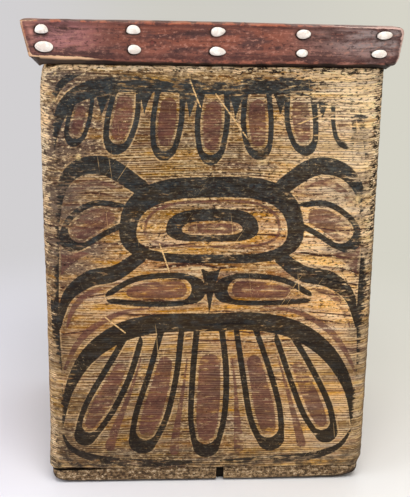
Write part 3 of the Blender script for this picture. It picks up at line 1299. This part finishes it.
def build_shells(material):
    """Domed shell plates: a rounded edge that goes down into the socket, and a low uneven dome."""
    rings = [(1.0, -SOCKET_DEPTH + 0.4), (1.0, -0.3), (0.985, 0.35), (0.94, 0.85), (0.85, 1.35)]
    rings += [(0.7, 1.8), (0.52, 2.1), (0.33, 2.25), (0.15, 2.32)]
    count = 40
    faces = loft_faces(len(rings), count)
    for seed, (node, x, z, outline) in enumerate(shell_list()):
        rim = shell_outline(outline, count)
        middle = rim.mean(axis=0)
        loops = []
        for share, height in rings:
            flat = middle + (rim - middle) * share
            uneven = 0.16 * wander(flat[:, 0] / 4, flat[:, 1] / 4, 40 + seed)
            rise = height + uneven * (height > 1)
            loops.append(flat[:, :1] * [1, 0, 0] + flat[:, 1:] * FACE_UP + rise[:, None] * FACE_OUT)
        points = on_lid_front(x, z) + np.array(loops)
        make_piece(f"shell_{node}", points, faces, material, "lid", [node])


# Bottom board and pegs


def board_stations(half_w, middle_w):
    """Places along the board, closer together at its ends and at its steps."""
    ends = 1 - np.linspace(1, 0, 18) ** 2
    stations = [*spaced(-half_w + 36, half_w - 36, grid_step(3.0)), half_w - 36]
    stations += [side * x for side in (-1, 1) for x in half_w - 34 + 34 * ends]
    for start, reach in ((0, middle_w), (NOTCH_X, NOTCH_W / 2)):
        stations += [start + side * (reach + off) for side in (-1, 1) for off in (-0.01, 0.01)]
    return np.array(sorted(stations))


def board_section(half_d, middle_d):
    """The board's section, from the lower front edge up, over and under: y, z and kind."""
    rise = [(8, 0.8), (5, 1.6), (3.0, 2.2), (1.6, 2.8), (0.5, 3.6)]
    rise += [(0, z) for z in spaced(4.6, FLANGE_T - 2.2, 1.9)]
    rise += [(0, FLANGE_T - 2.2), (0.25, FLANGE_T - 0.8), (0.9, FLANGE_T - 0.2), (2.2, FLANGE_T)]
    section = [(inset - half_d, z, "front") for inset, z in rise]
    section += [(-middle_d, FLANGE_T, "front")]
    section += [(y, BOARD_TOP, "middle") for y in np.linspace(-middle_d, middle_d, 12)]
    section += [(middle_d, FLANGE_T, "back")]
    section += [(half_d - inset, z, "back") for inset, z in rise[::-1]]
    section += [(y, 0, "under") for y in np.linspace(half_d - 14, 14 - half_d, 20)]
    return section


def build_board(material):
    half_w, half_d = FLANGE_W / 2, FLANGE_D / 2
    middle_w = HALF_W - WALL_T - MIDDLE_FIT
    middle_d = HALF_D - WALL_T - MIDDLE_FIT
    stations = board_stations(half_w, middle_w)
    y, z, kind = (np.array(column) for column in zip(*board_section(half_d, middle_d)))
    at_front = kind == "front"
    at_sides = np.isin(kind, ["front", "back"])
    x = np.broadcast_to(stations[:, None], (len(stations), len(kind)))
    ax = np.abs(x)
    z = np.where((kind == "middle") & (ax > middle_w), FLANGE_T, z)

    # The lower edge is rounded at the ends, more so at the front, and worn
    radius = np.where(x < 0, ROUND_LEFT, ROUND_RIGHT)
    into = np.clip(ax - (half_w - radius), 0, radius)
    low = radius - np.sqrt(radius**2 - into**2)
    worn = 1.2 * ramp(-x, 165, 190) + 0.6 * ramp(x, 60, 120) + 2.0 * ramp(x, 120, 165)
    outermost = ramp(-half_d - y, -3, -0.6) * at_front
    wide, tall = (np.where(x < 0, *sizes) for sizes in zip(FRONT_ROUND_LEFT, FRONT_ROUND_RIGHT))
    share = np.clip((ax - (half_w - wide)) / wide, 0, 1)
    rounded = tall * (1 - np.sqrt(1 - share**2)) * ramp(y, -125, -150)
    low = np.maximum(low, rounded) + worn * outermost
    z = np.where(z < FLANGE_T, low + z * (FLANGE_T - low) / FLANGE_T, z)

    # A gap opens under the walls at the front's ends
    gap = ramp(-x, 105, 165) + 0.5 * ramp(x, 165, 190)
    sunk = 3.0 * gap * at_front * ramp(z, 8, FLANGE_T - 1)
    z = z - sunk * (y < -half_d + 4)
    shade = at_front & (z > FLANGE_T - 3.2 * gap - 0.5) & (y > -half_d + 0.2)

    # Rounded corners, the notch and an uneven face
    corner = np.clip(ax - (half_w - BEND_R), 0, BEND_R)
    limit = half_d - BEND_R + np.sqrt(BEND_R**2 - corner**2)
    y = np.clip(y, -limit, limit)
    in_notch = np.abs(x - NOTCH_X) < NOTCH_W / 2
    y = np.where(in_notch & (y < -half_d + NOTCH_DEPTH), -half_d + NOTCH_DEPTH, y)
    out = 0.35 * wander(x / 40, z / 9, 51) + 0.2 * wander(x / 9, z / 5, 52) - 0.3
    out = out * at_sides * (z > 0.5) * (z < FLANGE_T - 0.5) * ~in_notch
    y = y + np.sign(y) * out
    points = np.stack([x, y, z], axis=-1)
    faces = loft_faces(*x.shape, inside_out=True)
    piece = make_piece("base_board", points, faces, material, "box", ["bottom_board"])
    on_edge = at_sides & (np.abs(y) > half_d - 12)
    speckled = np.where(on_edge | (ax > half_w - 6), 0.85, 0.15)
    floor_edge = 0.85 * at_front * ramp(z - low, 4.4, 2.6)
    shade = np.maximum.reduce([in_notch & at_front, shade * np.clip(gap, 0.3, 1), floor_edge])
    give(piece, x.shape, speckled=speckled, shade=shade)
    weld(piece, 0.01)
    return piece


def drill(piece, nodes):
    """Cuts a peg hole for each node, from below the board to above the peg."""
    past_end = 0.01
    radius = (PEG_D / 2 + PEG_FIT) * MM
    cutters = bmesh.new()
    for node in nodes:
        low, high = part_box(node)
        centre = (low + high) / 2
        depth = high.z + 2 * past_end
        place = Matrix.Translation((centre.x, centre.y, depth / 2 - past_end))
        bmesh.ops.create_cone(
            cutters, cap_ends=True, segments=24, radius1=radius, radius2=radius, depth=depth, matrix=place
        )
    mesh = bpy.data.meshes.new("drill")
    cutters.to_mesh(mesh)
    cutters.free()
    cutter = bpy.data.objects.new("drill", mesh)
    bpy.context.collection.objects.link(cutter)
    modifier = piece.modifiers.new("drill", "BOOLEAN")
    modifier.operation = "DIFFERENCE"
    modifier.solver = "EXACT"
    modifier.object = cutter
    evaluated = piece.evaluated_get(bpy.context.evaluated_depsgraph_get())
    drilled = bpy.data.meshes.new_from_object(evaluated)
    piece.modifiers.remove(modifier)
    piece.data = drilled
    bpy.data.objects.remove(cutter)


def outer_end(node, out):
    """The middle of a peg's end on the side that it faces."""
    low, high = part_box(node)
    return Vector([h if o > 0 else l if o < 0 else (l + h) / 2 for l, h, o in zip(low, high, out)])


def build_pegs(material, nodes, out, proud):
    """Whittled pegs whose outer ends stand proud of the wood, or below it. Out is the way they face."""
    sides = 14
    rings = [(0.45, proud), (0.85, proud - 0.25), (1.0, proud - 0.7)]
    rings += [(1.0, -3.0), (0.98, -18.0), (0.92, -30.0)]
    faces = loft_faces(len(rings), sides, inside_out=True)
    angle = np.linspace(0, 2 * np.pi, sides, endpoint=False)
    cos, sin = np.cos(angle), np.sin(angle)
    out = Vector(out)
    across = Vector((1, 0, 0))
    up = out.cross(across)
    for seed, node in enumerate(nodes):
        low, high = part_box(node)
        end = outer_end(node, out) / MM
        radius = (high.x - low.x) / 2 / MM * (1 + 0.07 * wander(2.2 * cos + 9, 2.2 * sin + 9, 60 + seed))
        loops = []
        for share, rise in rings:
            flat = np.outer(share * radius * cos, across) + np.outer(share * radius * sin, up)
            loops.append(np.array(end + out * rise) + flat)
        make_piece(f"whittled_{node}", loops, faces, material, "box", [node])


# Stage: floor, lamps, world and camera


def build_floor():
    """A pale floor that fades, as seen, into the pale tone of the world."""
    s = Surface("floor", 0.9, 0.0)
    place = s.place()
    x, y, _ = s.parts(place)
    across = s.step(x, -0.7, 0.4)
    far = s.mix(across, srgb(222, 220, 230), srgb(216, 213, 202))
    near_by = s.mix(across, srgb(246, 243, 255), srgb(241, 238, 234))
    near_by = s.mix(s.step(x, -0.22, -0.36), near_by, srgb(228, 225, 236))
    tone = s.mix(s.step(y, -0.5, 0.3), near_by, far)
    seen = s.seen()
    in_front = s.times(s.step(y, -0.24, -0.5), seen)
    s.put(s.shader.inputs["Base Color"], s.mix(in_front, tone, srgb(204, 202, 204)))
    faded = s.times(s.step(s.apart(Vector()), 0.42, 1.15), seen)
    glow = s.node("ShaderNodeEmission", {"Color": s.backdrop(s.vectors("NORMALIZE", {0: place}))})
    blend = s.node("ShaderNodeMixShader", {0: faded, 1: s.shader.outputs[0], 2: glow.outputs[0]})
    s.put(s.tree.nodes["Material Output"].inputs["Surface"], blend.outputs[0])
    corners = [(x * FLOOR_REACH, y * FLOOR_REACH, 0) for x, y in ((-1, -1), (1, -1), (1, 1), (-1, 1))]
    mesh = bpy.data.meshes.new("floor")
    mesh.from_pydata(corners, [], [(0, 1, 2, 3)])
    mesh.materials.append(s.material)
    floor = bpy.data.objects.new("floor", mesh)
    bpy.context.collection.objects.link(floor)


def add_lamp(name, place, size, power, colour):
    lamp = bpy.data.lights.new(name, "AREA")
    lamp.color = colour
    lamp.shape = "DISK"
    lamp.size = size
    lamp.energy = power
    holder = bpy.data.objects.new(name, lamp)
    holder.location = place
    holder.rotation_euler = (Vector(LAMP_TARGET) - Vector(place)).to_track_quat("-Z", "Y").to_euler()
    bpy.context.collection.objects.link(holder)


def light_scene():
    world = bpy.data.worlds.new("studio")
    world.use_nodes = True
    s = Shading(world.node_tree)
    soft = s.tree.nodes["Background"]
    soft.inputs["Color"].default_value = WORLD_COLOUR
    soft.inputs["Strength"].default_value = WORLD_STRENGTH
    direction = s.node("ShaderNodeTexCoord").outputs["Generated"]
    shown = s.node("ShaderNodeBackground", {"Color": s.backdrop(direction)})
    blend = s.node("ShaderNodeMixShader", {0: s.seen(), 1: soft.outputs[0], 2: shown.outputs[0]})
    s.put(s.tree.nodes["World Output"].inputs["Surface"], blend.outputs[0])
    bpy.context.scene.world = world
    for lamp in LAMPS:
        add_lamp(*lamp)
    bpy.context.scene.view_settings.view_transform = "Standard"


def add_camera():
    pitch, yaw, roll = (math.radians(a) for a in (CAMERA_PITCH, CAMERA_YAW, CAMERA_ROLL))
    ahead = Vector((math.sin(yaw) * math.cos(pitch), math.cos(yaw) * math.cos(pitch), -math.sin(pitch)))
    level = ahead.cross(Vector((0, 0, 1))).normalized()
    upright = level.cross(ahead)
    right = level * math.cos(roll) + upright * math.sin(roll)
    up = upright * math.cos(roll) - level * math.sin(roll)
    camera = bpy.data.cameras.new("camera")
    camera.sensor_width = CAMERA_FILM
    camera.lens = CAMERA_LENS
    holder = bpy.data.objects.new("camera", camera)
    turned = Matrix((right, up, -ahead)).transposed().to_4x4()
    holder.matrix_world = Matrix.Translation(CAMERA_PLACE) @ turned
    bpy.context.collection.objects.link(holder)
    bpy.context.scene.camera = holder


# The box is put together here

BACK = (0, 1, 0)
DOWN = (0, 0, -1)
bottom_pegs = sorted(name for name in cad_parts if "bottom_peg" in name)
corner_pegs = sorted(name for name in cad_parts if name.startswith("corner_peg"))
plain_peg = peg_material("peg_wood", srgb(96, 66, 40), srgb(150, 112, 72))
stained_peg = peg_material("stained_peg_wood", srgb(44, 32, 22), srgb(84, 64, 44))

build_plank(plank_material([outer_end(node, BACK) for node in corner_pegs]))
build_lid(lid_material())
build_shells(shell_material())
board = build_board(board_material([outer_end(node, DOWN) for node in bottom_pegs]))
drill(board, bottom_pegs)
build_pegs(plain_peg, corner_pegs, BACK, 0.9)
build_pegs(stained_peg, bottom_pegs, DOWN, -2.0)

build_floor()
light_scene()
add_camera()
